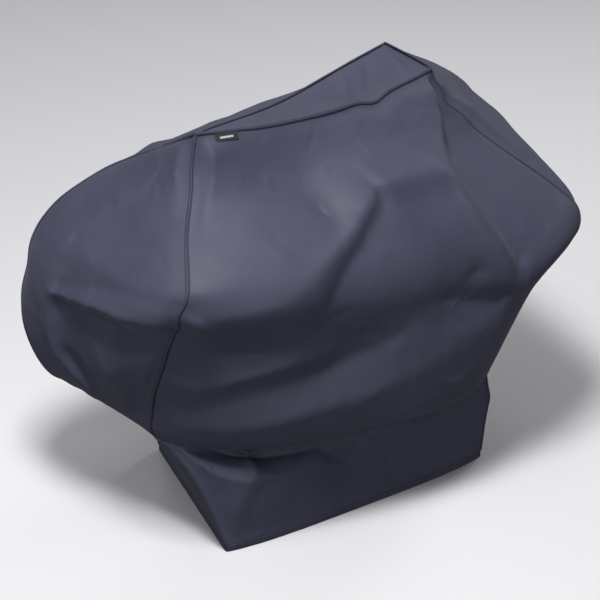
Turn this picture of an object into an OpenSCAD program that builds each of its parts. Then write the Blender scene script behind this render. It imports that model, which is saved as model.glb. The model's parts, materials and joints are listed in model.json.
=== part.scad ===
// A fitted cover for a cart grill, shaped as it hangs over the lid and the shelves.
// X runs from the left end to the right end, the front faces -Y, and Z is up.
// The hem stands on z = 0, and the origin is under the middle of the overall box.

/* [Overall] */
// Width over the two shelf ends
overall_w = 1340; // [1110:1:1620]
// Height from the hem to the top panel
overall_h = 1115; // [920:1:1350]

/* [Top panel] */
// Width of the top panel
top_w = 710; // [590:5:860]
// How far its front seam lies ahead of the lid's middle line
top_front = 40; // [20:1:60]
// How far its back seam lies behind the lid's middle line
top_back = 160; // [130:1:200]
// How far its back left corner sinks
top_sink = 95; // [0:1:110]
// How far the middle of its front seam is drawn forward
top_bow = 48; // [0:1:60]
// How far the middle of its front and back seams sags
top_sag = 14; // [0:1:25]

/* [Shelf line] */
// Height of the front left shelf corner
shelf_h = 805; // [740:5:860]
// How much lower the front right shelf corner is
shelf_fall = 83; // [60:1:100]
// How far the front shelf corners lie ahead of the lid's middle line
shelf_front = 270; // [230:1:320]
// How far the back shelf corners lie behind the lid's middle line
shelf_back = 315; // [270:1:370]
// How far the front left corner is drawn in from the end of the left shelf
corner_in = 145; // [100:1:180]

/* [Slack] */
// Height of the loose fold that hangs below the shelves
fold_h = 340; // [280:1:410]
// How far the front of the loose fold stands out between its corners
front_belly = 120; // [80:1:150]
// How far the ends and the back stand out between their corners
side_belly = 40; // [20:1:60]
// How far the front of the loose fold hangs lower between its corners
front_sag = 22; // [0:1:40]

/* [Skirt] */
// Width of the skirt at the hem
hem_w = 836; // [690:1:1010]
// Depth of the skirt at the hem
hem_d = 520; // [430:1:630]
// How far the right end of the hem stands ahead of the left end
hem_twist = 25; // [0:1:40]
// How far the hem's back left corner is tied in towards the cart's leg
hem_tie = 105; // [60:1:150]
// Height of the hem band
hem_h = 20; // [15:1:30]
// Height of the rim where the skirt turns out over the lower shelf
rim_h = 205; // [170:1:250]

/* [Cloth] */
// Thickness of a panel, with the loft of the fabric
cloth_t = 2.4; // [2:0.1:4]
// Thickness of the doubled hem band
hem_t = 3.6; // [3:0.1:5]
// Distance from the line of a seam to the panel on each side of it, beyond the cloth's thickness
seam_gap = 4.6; // [4:0.1:6.6]
// Width of the folded seam strip
seam_w = 9; // [6:0.5:10]
// Thickness of the folded seam strip
seam_t = 4; // [3:0.5:5]
// How far a corner seam stands proud of the line where its panels meet
seam_lift = 1.5; // [1:0.1:2.5]
// Gap between a panel's lower edge and its hem band
hem_gap = 1; // [0.5:0.1:2]

/* [Straps] */
// Width of the strap webbing
strap_w = 20; // [15:1:25]
// Thickness of the strap webbing
strap_t = 1.6; // [1.2:0.1:2]
// Gap between the front panel and the webbing that is sewn to it
strap_gap = 1.5; // [1:0.1:2]
// Length of the free end of a strap
tail_l = 170; // [130:1:190]
// Height of the top of the left strap's sewn webbing
left_strap_top = 295; // [270:1:300]
// Height of the bottom of the left strap's sewn webbing
left_strap_low = 222; // [200:1:240]
// Height of the top of the middle strap's sewn webbing
middle_strap_top = 258; // [235:1:280]
// Height of the bottom of the middle strap's sewn webbing
middle_strap_low = 50; // [40:1:90]
// Space between the sewn webbing and the free end that hangs behind it
tail_space = 9; // [6:0.5:14]
// Width of a hook or loop patch
patch_w = 16; // [12:1:18]
// Length of the hook patch
hook_l = 45; // [30:1:60]
// Length of the loop patch
loop_l = 80; // [50:1:90]
// Thickness of a patch
patch_t = 1.2; // [0.8:0.1:2]
// Distance along the front from the left seam to the left strap's middle
left_strap_in = 36; // [34:1:60]
// Place of the top of the middle strap, as a share of the way along the front
middle_strap_at = 0.535; // [0.4:0.005:0.6]
// How much further along the front its bottom is, because the skirt hangs askew
middle_strap_skew = 0.075; // [0:0.005:0.1]

/* [Label] */
// Width of the woven label
label_w = 58; // [50:1:80]
// Height of the woven label
label_h = 21; // [18:1:30]
// Thickness of the woven label
label_t = 1; // [0.8:0.1:1.5]
// Distance from the left end of the top panel to the label
label_in = 44; // [30:1:100]

/* [Hidden] */

// Colours of the coated cloth, its folded edges, the webbing and the woven label
cloth_colour = [0.23, 0.24, 0.31];
seam_colour = [0.16, 0.17, 0.22];
webbing_colour = [0.1, 0.1, 0.12];
label_colour = [0.07, 0.07, 0.08];

// The middle of the overall box lies this far from the lid's middle
centre_x = -4;
centre_y = -14;

// Rows down a side panel, and columns across it
rows = 36;
columns = 16;
top_rows = 8;
top_dip = 10;
seam_rings = 44;

half_w = overall_w / 2;
half_top = top_w / 2;
half_hem = hem_w / 2;
hem_front = hem_d / 2 - hem_twist / 2;
hem_back = hem_d / 2 + hem_twist;
hem_line = hem_h + hem_gap;
panel_gap = seam_gap + cloth_t;

// Each ring of the cover runs front left, front right, back right, back left.
// The rings go down from the top, over the shelves and round the loose fold, and
// then turn in under it to the tuck, out to the rim of the skirt and down to the hem.
rings = [
    [[-half_top, -top_front, overall_h], [half_top, -top_front, overall_h],
        [half_top, top_back, overall_h], [-half_top, top_back - 45, overall_h - top_sink]],
    [[-half_top - 48, -top_front - 42, mix(shelf_h, overall_h, 0.5645)],
        [half_top + 85, -top_front - 68, mix(shelf_h - shelf_fall, overall_h, 0.6056)],
        [half_top + 168, top_back + 60, mix(shelf_h + 50, overall_h, 0.5692)],
        [-half_top - 110, top_back + 110, mix(shelf_h - 45, overall_h - top_sink, 0.5962)]],
    [[-half_w + corner_in, -shelf_front + 15, shelf_h],
        [half_w - 5, -shelf_front - 30, shelf_h - shelf_fall],
        [half_w - 10, shelf_back - 20, shelf_h + 50],
        [-half_w + 70, shelf_back + 45, shelf_h - 45]],
    [[-half_w + corner_in - 20, -shelf_front + 100, fold_h + 260],
        [half_w - 155, -shelf_front - 50, fold_h + 230],
        [half_w - 40, shelf_back, fold_h + 225], [-half_w, shelf_back + 20, fold_h + 225]],
    [[-half_w + corner_in - 5, -shelf_front + 200, fold_h + 12],
        [half_hem - 5, -shelf_front, fold_h - 5],
        [half_hem + 130, shelf_back - 10, fold_h + 30],
        [-half_w + 20, shelf_back - 75, fold_h + 55]],
    [[-half_hem - 82, -hem_front + 140, fold_h - 45], [half_hem - 10, -hem_front - 17, fold_h - 45],
        [half_hem + 30, hem_back - 50, fold_h - 20], [-half_hem - 70, hem_back - 120, fold_h + 5]],
    [[-half_hem - 40, -hem_front + 80, rim_h], [half_hem - 2, -hem_front - 20, rim_h],
        [half_hem + 10, hem_back - 15, rim_h], [-half_hem + hem_tie / 2, hem_back - 45, rim_h]],
    [[-half_hem + 10, -hem_front + hem_twist, hem_line], [half_hem, -hem_front, hem_line],
        [half_hem, hem_back, hem_line], [-half_hem + hem_tie, hem_back, hem_line]]
];

// How far each ring stands out between its corners: front, right, back, left
bellies = [
    [top_bow, 2, 2, 2],
    [45, side_belly, 10, side_belly / 2],
    [75, side_belly / 4, 8, side_belly],
    [front_belly, side_belly, side_belly / 2, side_belly],
    [front_belly + 40, side_belly / 2, side_belly / 2, 0],
    [35, 0, 0, 0],
    [30, 0, 0, 0],
    [22, -side_belly / 4, 4, 0]
];

// How far each ring hangs lower between its corners, in the same order
sags = [
    [top_sag, 0, top_sag, 0],
    [0, 0, 0, 0],
    [0, 0, 0, 0],
    [0, 0, 0, 0],
    [front_sag, 0, 0, 0],
    [front_sag, 0, 0, 0],
    [0, 0, 0, 0],
    [0, 0, 0, 0]
];

outward = [[0, -1, 0], [1, 0, 0], [0, 1, 0], [-1, 0, 0]];
front = 0;
right = 1;
back = 2;
left = 3;
last_ring = len(rings) - 1;

// A smooth curve through four values: at u = 0 it is b, and at u = 1 it is c
function smooth(a, b, c, d, u) =
    b + u * 0.5 * (c - a) + u * u * (a - 2.5 * b + 2 * c - 0.5 * d)
    + u * u * u * (1.5 * (b - c) + 0.5 * (d - a));

function clamp_ring(k) = min(max(k, 0), last_ring);

// A value from a list with one entry for each ring, taken at s rings from the top
function along(list, s) =
    let(k = min(floor(s), last_ring - 1), u = s - k)
    smooth(list[clamp_ring(k - 1)], list[k], list[k + 1], list[clamp_ring(k + 2)], u);

function corner_list(c) = [for (r = rings) r[c % 4]];
function belly_list(side) = [for (b = bellies) b[side]];
function sag_list(side) = [for (g = sags) g[side]];
function mix(a, b, t) = a + (b - a) * t;

// How full a side is at t: an arch along the top seam, and squarer further down
function fullness(s, t) = 1 - pow(abs(2 * t - 1), 2 + 2 * min(s, 1));

// A point of the cover's outer face: s rings down, and t of the way along one side
function face_point(side, s, t) =
    mix(along(corner_list(side), s), along(corner_list(side + 1), s), t)
    + (outward[side] * along(belly_list(side), s) - [0, 0, along(sag_list(side), s)])
        * fullness(s, t);

// The unit normal there, pointing out of the cover
function face_normal(side, s, t) =
    let(
        ds = 0.02,
        dt = 0.02,
        s0 = max(s - ds, 0),
        s1 = min(s + ds, last_ring),
        down = face_point(side, s1, t) - face_point(side, s0, t),
        across = face_point(side, s, min(t + dt, 1)) - face_point(side, s, max(t - dt, 0)),
        n = cross(across, -down)
    )
    n / norm(n);

// A point at some depth under the outer face
function deep_point(side, s, t, depth) =
    face_point(side, s, t) - depth * face_normal(side, s, t);

// The share of a side that is one length, measured on that ring
function share(side, s, length) =
    length / norm(along(corner_list(side + 1), s) - along(corner_list(side), s));

// Rings down at which a side's face first comes to a height, found by halving
function ring_at(side, t, z, low, high, tries = 24) =
    tries == 0 ? (low + high) / 2
    : let(m = (low + high) / 2)
        face_point(side, m, t)[2] > z ? ring_at(side, t, z, m, high, tries - 1)
        : ring_at(side, t, z, low, m, tries - 1);

// A closed sheet between two grids of points that have the same rows and columns
module sheet_solid(outer, inner) {
    m = len(outer);
    n = len(outer[0]);
    shift = m * n;
    points = concat([for (r = outer) each r], [for (r = inner) each r]);
    function at(i, j) = i * n + j;
    outer_faces = [for (i = [0 : m - 2], j = [0 : n - 2])
        each [[at(i, j), at(i, j + 1), at(i + 1, j + 1)],
            [at(i, j), at(i + 1, j + 1), at(i + 1, j)]]];
    inner_faces = [for (f = outer_faces) [f[2] + shift, f[1] + shift, f[0] + shift]];
    rim = concat(
        [for (j = [0 : n - 2]) [at(0, j), at(0, j + 1)]],
        [for (i = [0 : m - 2]) [at(i, n - 1), at(i + 1, n - 1)]],
        [for (j = [n - 1 : -1 : 1]) [at(m - 1, j), at(m - 1, j - 1)]],
        [for (i = [m - 1 : -1 : 1]) [at(i, 0), at(i - 1, 0)]]);
    rim_faces = [for (e = rim)
        each [[e[1], e[0], e[0] + shift], [e[1], e[0] + shift, e[1] + shift]]];
    polyhedron(points = points, faces = concat(outer_faces, inner_faces, rim_faces), convexity = 8);
}

// A flat strip carried along a line of points, with its width along the vector given,
// and lifted off the line by some distance
module strip_solid(line, wide, w, t, lift = 0) {
    n = len(line);
    rings_of = [for (i = [0 : n - 1])
        let(
            d = line[min(i + 1, n - 1)] - line[max(i - 1, 0)],
            ahead = d / norm(d),
            flat = wide - ahead * (wide * ahead),
            across = flat / norm(flat),
            thick = cross(ahead, across)
        )
        [for (a = [0 : 60 : 300])
            line[i] + across * (w / 2 * cos(a)) + thick * (t / 2 * sin(a) - lift)]];
    k = 6;
    points = [for (r = rings_of) each r];
    walls = [for (i = [0 : n - 2], j = [0 : k - 1])
        let(a = i * k + j, b = i * k + (j + 1) % k)
        each [[a, b + k, b], [a, a + k, b + k]]];
    first_cap = [for (j = [1 : k - 2]) [0, j, j + 1]];
    last_cap = [for (j = [1 : k - 2]) [(n - 1) * k, (n - 1) * k + j + 1, (n - 1) * k + j]];
    polyhedron(points = points, faces = concat(walls, first_cap, last_cap), convexity = 8);
}

// One side panel, a single piece of cloth from the top seam to the hem
module side_panel(side) {
    s_first = panel_gap / norm(face_point(side, 0.2, 0.5) - face_point(side, 0, 0.5)) * 0.2;
    grid = [for (i = [0 : rows])
        let(s = mix(s_first, last_ring, i / rows), edge = share(side, s, panel_gap))
        [for (j = [0 : columns]) [s, mix(edge, 1 - edge, j / columns)]]];
    outer = [for (r = grid) [for (p = r) face_point(side, p[0], p[1])]];
    inner = [for (r = grid) [for (p = r) deep_point(side, p[0], p[1], cloth_t)]];
    // Under the lowest row the cloth is cut level, to sit on the hem band
    level_inner = [for (i = [0 : rows]) [for (j = [0 : columns])
        i < rows ? inner[i][j] : [inner[i][j][0], inner[i][j][1], hem_line]]];
    color(cloth_colour) sheet_solid(outer, level_inner);
}

// A point of the top panel, a of the way from left to right and b from front to back
function top_point(a, b) =
    mix(face_point(front, 0, a), face_point(back, 0, 1 - a), b)
    - [0, 0, top_dip * (1 - pow(2 * b - 1, 2)) * (1 - pow(2 * a - 1, 2))];

module top_panel() {
    a_edge = panel_gap / top_w;
    b_edge = panel_gap / (top_front + top_back);
    outer = [for (i = [0 : top_rows])
        [for (j = [0 : columns])
            let(b = mix(1 - b_edge * 1.3, b_edge, i / top_rows))
            top_point(mix(a_edge, 1 - a_edge, j / columns), b)]];
    inner = [for (r = outer) [for (p = r) p - [0, 0, cloth_t]]];
    color(cloth_colour) sheet_solid(outer, inner);
}

// A seam between the top panel and one side panel
module top_seam(side) {
    edge = share(side, 0, seam_w * 0.6);
    line = [for (i = [0 : columns])
        let(t = mix(edge, 1 - edge, i / columns))
        face_point(side, 0, t)];
    color(seam_colour) strip_solid(line, [0, 0, 1], seam_t, seam_t);
}

// A seam down the corner where one side panel meets the next
module corner_seam(corner) {
    s_first = 0.05;
    line = [for (i = [0 : seam_rings])
        along(corner_list(corner), mix(s_first, last_ring - 0.01, i / seam_rings))];
    diagonal = outward[corner] + outward[(corner + 3) % 4];
    color(seam_colour) strip_solid(line, cross(diagonal, [0, 0, 1]), seam_w, seam_t, seam_lift);
}

// The doubled band along the lower edge of one side panel, standing level on z = 0
module hem_band(side) {
    edge = share(side, last_ring, seam_w / 2 + 1);
    ts = [for (j = [0 : columns]) mix(edge, 1 - edge, j / columns)];
    line = [for (t = ts) face_point(side, last_ring, t)];
    inward = [for (t = ts)
        let(n = face_normal(side, last_ring, t), flat = [n[0], n[1], 0])
        -flat / norm(flat)];
    outer = [for (z = [hem_h, 0]) [for (p = line) [p[0], p[1], z]]];
    inner = [for (z = [hem_h, 0]) [for (j = [0 : columns])
        [line[j][0] + inward[j][0] * hem_t, line[j][1] + inward[j][1] * hem_t, z]]];
    color(seam_colour) sheet_solid(outer, inner);
}

// Each strap's webbing: the shares along the front of its top and bottom, and their heights
left_share = left_strap_in / (half_hem * 2 + 45);
left_strap = [left_share, left_share, left_strap_top, left_strap_low];
middle_strap = [middle_strap_at, middle_strap_at + middle_strap_skew, middle_strap_top, middle_strap_low];

webbing_depth = cloth_t + strap_gap;
webbing_rows = 12;
skirt_rings = [last_ring - 2, last_ring];

function strap_rings(strap) = [
    ring_at(front, strap[0], strap[2], skirt_rings[0], skirt_rings[1]),
    ring_at(front, strap[1], strap[3], skirt_rings[0], skirt_rings[1])];

// Rings down, and the share along the front, at u of the way down a strap's webbing
function strap_line(strap, u) =
    let(s = strap_rings(strap))
    [mix(s[0], s[1], u), mix(strap[0], strap[1], u)];

strap_steps = [for (i = [0 : webbing_rows]) i / webbing_rows];

// The part of a strap that is sewn flat to the inside of the front panel
module strap_webbing(strap) {
    grid = [for (u = strap_steps)
        let(p = strap_line(strap, u), half = share(front, p[0], strap_w / 2))
        [[p[0], p[1] - half], [p[0], p[1] + half]]];
    outer = [for (r = grid) [for (p = r) deep_point(front, p[0], p[1], webbing_depth)]];
    inner = [for (r = grid) [for (p = r) deep_point(front, p[0], p[1], webbing_depth + strap_t)]];
    color(webbing_colour) sheet_solid(outer, inner);
}

stitch_t = 0.8;
stitch_in = 4;

// The box of thread that holds the webbing, on the outside of the front panel
module strap_stitching(strap) {
    for (e = [-1, 1]) {
        line = [for (u = strap_steps)
            let(p = strap_line(strap, u), side_step = share(front, p[0], strap_w / 2 - stitch_in))
            deep_point(front, p[0], p[1] + e * side_step, -stitch_t)];
        color(seam_colour) strip_solid(line, [1, 0, 0], stitch_t, stitch_t);
    }
    foot = strap_line(strap, 1);
    reach = share(front, foot[0], strap_w / 2 - stitch_in - stitch_t * 1.5);
    cross_line = [for (e = [-1, 0, 1]) deep_point(front, foot[0], foot[1] + e * reach, -stitch_t)];
    color(seam_colour) strip_solid(cross_line, [0, 0, 1], stitch_t, stitch_t);
}

// The level direction across a strap, along the front panel at the top of its webbing
function strap_across(strap) =
    let(
        top = strap_line(strap, 0),
        half = share(front, top[0], strap_w / 2),
        run = face_point(front, top[0], top[1] + half) - face_point(front, top[0], top[1] - half),
        flat = [run[0], run[1], 0]
    )
    flat / norm(flat);

// The level direction that points from the front panel into the cover there
function strap_inward(strap) = cross([0, 0, 1], strap_across(strap));

// The middle of the hinge line of a strap's free end, at the top of its webbing.
// The free end hangs behind the deepest point of the webbing.
function tail_place(strap) =
    let(
        inward = strap_inward(strap),
        top = strap_line(strap, 0),
        start = deep_point(front, top[0], top[1], webbing_depth + strap_t),
        depths = [for (u = strap_steps)
            let(p = strap_line(strap, u))
            (deep_point(front, p[0], p[1], webbing_depth + strap_t) - start) * inward],
        place = start + inward * (max(depths) + tail_space)
    )
    [place[0], place[1], strap[2]];

function tail_yaw(strap) = atan2(strap_across(strap)[1], strap_across(strap)[0]);

// The free end leans as the webbing does, because it lies along the skewed skirt
function tail_lean(strap) =
    let(
        top = strap_line(strap, 0),
        foot = strap_line(strap, 1),
        run = face_point(front, foot[0], foot[1]) - face_point(front, top[0], top[1])
    )
    atan2(run * strap_across(strap), -run[2]);

// A flat piece of a strap's free end, from some drop below the hinge line
module on_tail(strap, w, t, back_of, drop, length) {
    translate(tail_place(strap))
        rotate([0, 0, tail_yaw(strap)])
            rotate([0, -tail_lean(strap), 0])
                translate([-w / 2, back_of, -drop - length])
                    cube([w, t, length]);
}

module strap_tail(strap) {
    color(webbing_colour) on_tail(strap, strap_w, strap_t, -strap_t / 2, 0, tail_l);
}

patch_margin = 5;
module hook_patch(strap) {
    color(seam_colour)
        on_tail(strap, patch_w, patch_t, strap_t / 2, tail_l - patch_margin - hook_l, hook_l);
}

module loop_patch(strap) {
    color(seam_colour) on_tail(strap, patch_w, patch_t, strap_t / 2, patch_margin * 3, loop_l);
}

// The label hangs from the front top seam, over the slope of the front panel
label_stand = 3.5;
label_stitch_drop = 4;
label_a = (label_in + label_w / 2) / top_w;
label_s = ring_at(front, label_a, overall_h - label_h, 0, 1);
label_seam = face_point(front, 0, label_a);
label_run = face_point(front, 0, label_a + 0.02) - label_seam;
label_yaw = atan2(label_run[1], label_run[0]);
label_top = label_seam + label_stand * face_normal(front, 0.1, label_a) - [0, 0, seam_t];
label_low = face_point(front, label_s, label_a) + face_normal(front, label_s, label_a) * label_stand;
label_drop = label_top - label_low;
label_lean = atan2(norm([label_drop[0], label_drop[1]]), label_drop[2]);

// A label piece, placed from the middle of the line along its top edge
module on_label() {
    translate(label_top) rotate([0, 0, label_yaw]) rotate([-label_lean, 0, 0]) children();
}

module label() {
    color(label_colour) on_label()
        translate([-label_w / 2, -label_t, -label_h])
            cube([label_w, label_t, label_h]);
}

// The row of thread along the label's top edge
module label_stitching() {
    color(seam_colour) on_label()
        translate([-label_w / 2 + 3, -label_t - 0.6, -label_stitch_drop])
            cube([label_w - 6, 0.6, 0.8]);
}

module placed() {
    translate([-centre_x, -centre_y, 0]) children();
}

placed() top_panel();
placed() side_panel(front);  // front_panel
placed() side_panel(right);  // right_panel
placed() side_panel(back);  // back_panel
placed() side_panel(left);  // left_panel
placed() top_seam(front);  // top_front_seam
placed() top_seam(right);  // top_right_seam
placed() top_seam(back);  // top_back_seam
placed() top_seam(left);  // top_left_seam
placed() corner_seam(front);  // front_left_seam
placed() corner_seam(right);  // front_right_seam
placed() corner_seam(back);  // back_right_seam
placed() corner_seam(left);  // back_left_seam
placed() hem_band(front);  // front_hem
placed() hem_band(right);  // right_hem
placed() hem_band(back);  // back_hem
placed() hem_band(left);  // left_hem
placed() strap_webbing(left_strap);  // left_strap_webbing
placed() strap_stitching(left_strap);  // left_strap_stitching
placed() strap_tail(left_strap);  // left_strap_tail
placed() hook_patch(left_strap);  // left_strap_hook_patch
placed() loop_patch(left_strap);  // left_strap_loop_patch
placed() strap_webbing(middle_strap);  // middle_strap_webbing
placed() strap_stitching(middle_strap);  // middle_strap_stitching
placed() strap_tail(middle_strap);  // middle_strap_tail
placed() hook_patch(middle_strap);  // middle_strap_hook_patch
placed() loop_patch(middle_strap);  // middle_strap_loop_patch
placed() label();
placed() label_stitching();
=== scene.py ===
# %% [markdown]
# # A draped cover for a cart grill
# This file dresses a plain, measured model of a soft cover in real cloth.  The cover is five
# panels of coated polyester: a narrow top, and a front, a right, a back and a left panel that
# each run in one piece from the top seam to the hem.  It hangs over a lid, two side shelves and
# a cart, so it is narrow at the top, wide at the shelves, slack below them and tucked in at the
# legs.  The frame gives the bodies, the joints and the overall box.  Everything you see is then
# made here, as surfaces worked out from formulas on grids of numbers.

# %% Load the measured frame
import json
import math

import bmesh
import bpy
import numpy as np
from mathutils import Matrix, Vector


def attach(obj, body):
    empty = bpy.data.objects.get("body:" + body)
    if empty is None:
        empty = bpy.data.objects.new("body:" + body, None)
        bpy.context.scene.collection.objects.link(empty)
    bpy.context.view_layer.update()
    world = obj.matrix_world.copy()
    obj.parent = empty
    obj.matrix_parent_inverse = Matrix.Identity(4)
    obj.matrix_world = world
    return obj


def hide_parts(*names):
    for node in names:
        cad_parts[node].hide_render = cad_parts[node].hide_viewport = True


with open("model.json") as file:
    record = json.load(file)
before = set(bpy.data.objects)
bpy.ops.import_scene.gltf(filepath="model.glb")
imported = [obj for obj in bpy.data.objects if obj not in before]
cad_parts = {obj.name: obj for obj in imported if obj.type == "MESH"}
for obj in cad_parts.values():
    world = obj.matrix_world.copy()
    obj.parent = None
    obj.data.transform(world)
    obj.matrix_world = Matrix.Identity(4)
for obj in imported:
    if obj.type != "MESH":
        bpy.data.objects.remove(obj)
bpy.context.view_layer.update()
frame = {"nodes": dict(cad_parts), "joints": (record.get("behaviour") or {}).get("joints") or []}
joints = {j["name"]: j for j in frame["joints"]}
MM = 0.001

# %% [markdown]
# ## The shape that the cloth hangs in
# A draped cover could be made by dropping a cloth on boxes and hoping, or by drawing it.  Here
# the large shape is a loft, because its rings can be read and changed one by one.  Each ring is
# four corners at one level: front left, front right, back right, back left.  The rings go down
# from the top, over the shelves, round the loose fold, in to the tuck, out to the rim of the
# skirt and down to the hem.  These are the same rings as in the measured model, in millimetres.

# %% The rings, and how far each side stands out or sags between its corners
CENTRE = np.array([4.0, 14.0, 0.0])
RINGS = CENTRE + np.array([
    [[-355, -40, 1115], [355, -40, 1115], [355, 160, 1115], [-355, 115, 1020]],
    [[-403, -82, 980], [440, -108, 960], [523, 220, 1003], [-465, 270, 915]],
    [[-525, -255, 805], [665, -300, 722], [660, 295, 855], [-600, 360, 760]],
    [[-545, -170, 600], [515, -320, 570], [630, 315, 565], [-670, 335, 565]],
    [[-530, -70, 352], [413, -270, 335], [548, 305, 370], [-650, 240, 395]],
    [[-500, -107.5, 295], [408, -264.5, 295], [448, 235, 320], [-488, 165, 345]],
    [[-458, -167.5, 205], [416, -267.5, 205], [428, 270, 205], [-365.5, 240, 205]],
    [[-408, -222.5, 21], [418, -247.5, 21], [418, 285, 21], [-313, 285, 21]],
], float)
BELLIES = np.array([[48, 2, 2, 2], [45, 40, 10, 20], [75, 10, 8, 40], [120, 40, 20, 40],
                    [160, 20, 20, 0], [35, 0, 0, 0], [30, 0, 0, 0], [22, -10, 4, 0]], float)
SAGS = np.zeros((8, 4))
SAGS[0] = [14, 0, 14, 0]
SAGS[4:6, 0] = 22
SIDES = ["front", "right", "back", "left"]
OUTWARD = np.array([[0, -1, 0], [1, 0, 0], [0, 1, 0], [-1, 0, 0]], float)
LAST = len(RINGS) - 1
UP = np.array([0.0, 0.0, 1.0])
print("rings", len(RINGS), "sides", SIDES)


# %% Reading a value between the rings
def catmull_rom(a, b, c, d, u):
    """The curve from b to c, a share u of the way, with slopes set by a and d beyond them."""
    return (b + u * 0.5 * (c - a) + u ** 2 * (a - 2.5 * b + 2 * c - 0.5 * d)
            + u ** 3 * (1.5 * (b - c) + 0.5 * (d - a)))


def along(rows, s):
    """The value s rings down: a Catmull-Rom curve, which passes through every ring's own value
    and takes its slope there from the rings above and below."""
    s = np.asarray(s, float)
    k = np.clip(np.floor(s).astype(int), 0, LAST - 1)
    u = (s - k).reshape(s.shape + (1,) * (rows.ndim - 1))
    return catmull_rom(*(rows[np.clip(k + i, 0, LAST)] for i in (-1, 0, 1, 2)), u)


def bump(x, centre, width):
    """A bell: 1 at the centre, falling off as e to the minus the distance squared."""
    return np.exp(-((x - centre) / width) ** 2)


# %% [markdown]
# A sewn corner never runs quite straight: it kinks where a fold crosses it and draws in where
# the cloth is pinched.  Each corner has a few such places, written as how far down it lies, how
# long it is, and how far the seam moves out of the cover and along it.

# %% The corners of the cover, with their kinks
DIAGONAL = [OUTWARD[c] + OUTWARD[(c + 3) % 4] for c in range(4)]
DIAGONAL = np.array([d / np.linalg.norm(d) for d in DIAGONAL])
SIDEWAYS = np.cross(UP, DIAGONAL)
KINKS = [
    [(0.95, 0.22, 3, 5), (1.45, 0.2, 0, -5), (1.92, 0.12, 6, 5), (2.2, 0.1, 2, -7), (2.5, 0.12, -12, -3),
     (3.0, 0.2, 2, 4), (3.55, 0.2, -6, -4), (4.0, 0.15, 3, -3), (6.3, 0.3, 3, 0)],
    [(0.3, 0.15, -6, -3), (0.66, 0.12, -10, -12), (0.9, 0.12, 4, 0), (1.9, 0.12, 5, 0), (2.6, 0.3, -5, 0),
     (6.0, 0.25, 4, 4)],
    [(0.5, 0.2, -5, 3), (1.2, 0.3, 4, -5), (2.4, 0.25, -7, 3), (3.2, 0.3, 5, 0), (6.0, 0.3, 4, -3)],
    [(0.6, 0.25, -5, -4), (1.5, 0.3, 5, 4), (2.5, 0.2, -8, 0), (3.3, 0.3, 4, 3), (6.2, 0.3, 4, 3)],
]


def corner_shift(corner, s):
    """How far a corner leaves its smooth line, s rings down: the sum of its kinks, each a bell."""
    out = sum(k[2] * bump(s, k[0], k[1]) for k in KINKS[corner])
    side = sum(k[3] * bump(s, k[0], k[1]) for k in KINKS[corner])
    return out[..., None] * DIAGONAL[corner] + side[..., None] * SIDEWAYS[corner]


# %% A point of a side
KINK_REACH = 85.0
# The kink in the top front seam and the sag of the top back one: share across, width, out and down.
# They fade over this many rings.
TOP_KINK_RINGS = 0.35
TOP_KINKS = {0: (0.7, 0.05, 9, 13), 2: (0.5, 0.25, 0, 15)}


def face(side, s, t):
    """The smooth outer face: the straight line between two corners, pushed out by the belly and
    down by the sag.  The push is 1 in the middle and 0 at the corners: an arch along the top
    seam, and squarer further down.  A corner's kinks fade out over KINK_REACH, and a kink in a
    top seam fades out down the side and along the seam."""
    s, t = np.broadcast_arrays(np.asarray(s, float), np.asarray(t, float))
    first = along(RINGS[:, side], s)
    second = along(RINGS[:, (side + 1) % 4], s)
    run = np.linalg.norm(second - first, axis=-1)
    arch = 1 - np.abs(2 * t - 1) ** (2 + 2 * np.minimum(s, 1))
    push = along(BELLIES[:, side], s)[..., None] * OUTWARD[side] - along(SAGS[:, side], s)[..., None] * UP
    top_kink = 0.0
    if side in TOP_KINKS:
        place, width, out, drop = TOP_KINKS[side]
        strength = bump(t, place, width) * bump(s, 0, TOP_KINK_RINGS) * arch
        top_kink = strength[..., None] * (out * OUTWARD[side] - drop * UP)
    near_first = np.exp(-(t * run / KINK_REACH) ** 2)[..., None]
    near_second = np.exp(-((1 - t) * run / KINK_REACH) ** 2)[..., None]
    return (first + (second - first) * t[..., None] + push * arch[..., None] + top_kink
            + corner_shift(side, s) * near_first + corner_shift((side + 1) % 4, s) * near_second)


def grid_normals(points):
    """The unit normal at each point of a grid: the cross product of the steps across and up."""
    down = np.gradient(points, axis=0)
    across = np.gradient(points, axis=1)
    n = np.cross(across, -down)
    return n / (np.linalg.norm(n, axis=-1, keepdims=True) + 1e-12)


# %% [markdown]
# ## Folds
# Cloth over hard things makes tents: a crest runs out from each point that holds it up, with a
# gentle slope on one side and a steep one on the other, and valleys lie where it is slack.  They
# could be sculpted by hand, but a written fold can be read and moved.  Both kinds of fold here
# start as a path of a few places on a panel, each with a height.  The large ones are lines that a
# taut skin is drawn over, so each slope runs straight to the next line.  The small ones also say
# how far their two slopes reach.

# %% A smooth path through a few places
def smooth_path(places, steps):
    """Points of a Catmull-Rom curve through the places, with this many steps between two."""
    knots = np.array(places, float)
    u = np.linspace(0, len(knots) - 1, steps * (len(knots) - 1) + 1)
    k = np.clip(np.floor(u).astype(int), 0, len(knots) - 2)
    f = (u - k)[:, None]
    return catmull_rom(*(knots[np.clip(k + i, 0, len(knots) - 1)] for i in (-1, 0, 1, 2)), f)


# %% Large folds: a skin drawn taut over lines
ROWS, COLUMNS = 210, 190
FIRST_ROW = 0.012
GRID_RINGS = np.linspace(FIRST_ROW, LAST, ROWS)
WAIST = 4.05
LINE_STEPS, FOLD_STEPS = 60, 12
PASSES, OVERSHOOT = 360, 1.94


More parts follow.
